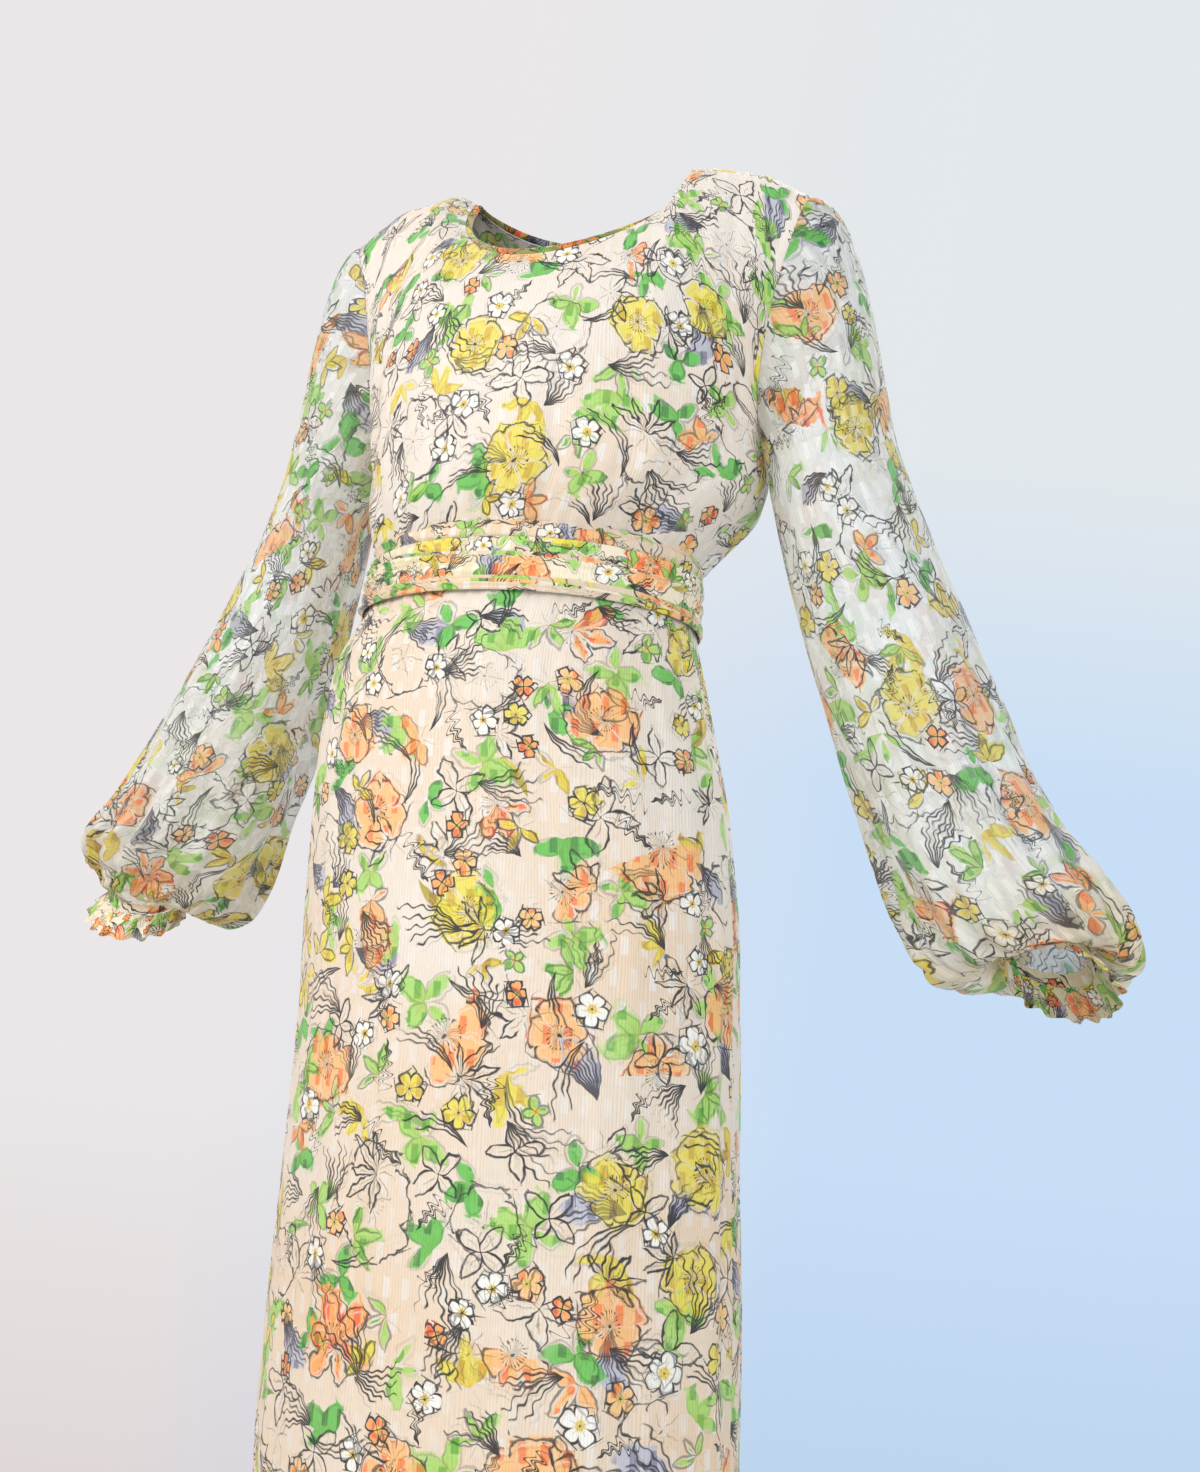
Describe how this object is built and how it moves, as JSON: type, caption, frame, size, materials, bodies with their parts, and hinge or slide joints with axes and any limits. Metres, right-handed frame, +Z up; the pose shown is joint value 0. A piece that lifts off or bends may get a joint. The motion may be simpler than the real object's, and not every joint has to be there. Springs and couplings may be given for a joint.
{
  "type": "kaftan",
  "caption": "Full-length kaftan with a round neck, long bishop sleeves gathered into frilled cuffs, and a sash wound round the waist and knotted behind.",
  "frame": {"origin": "midway between the tops of the two shoulder seams, where the wearer's shoulders carry the garment", "axes": "+X is the wearer's left, -Y is the front, +Z is up"},
  "size_m": [0.866, 0.302, 1.3904],
  "materials": {
    "panel": "cream silk chiffon with a painted floral print and satin dashes",
    "sheer": "single layer of the same chiffon, slightly see-through",
    "cuff": "gathered chiffon",
    "binding": "bias strip of the same cloth",
    "sash": "double layer of the same cloth"
  },
  "bodies": {
    "root": {"front": "panel", "back": "panel", "sleeve_left": "sheer", "sleeve_right": "sheer", "cuff_left": "cuff", "cuff_right": "cuff", "cuff_frill_left": "cuff", "cuff_frill_right": "cuff", "neck_binding": "binding", "sash_under_lap": "sash", "sash_over_lap": "sash", "sash_knot": "sash", "sash_tail_left": "sash", "sash_tail_right": "sash"}
  },
  "joints": []
}
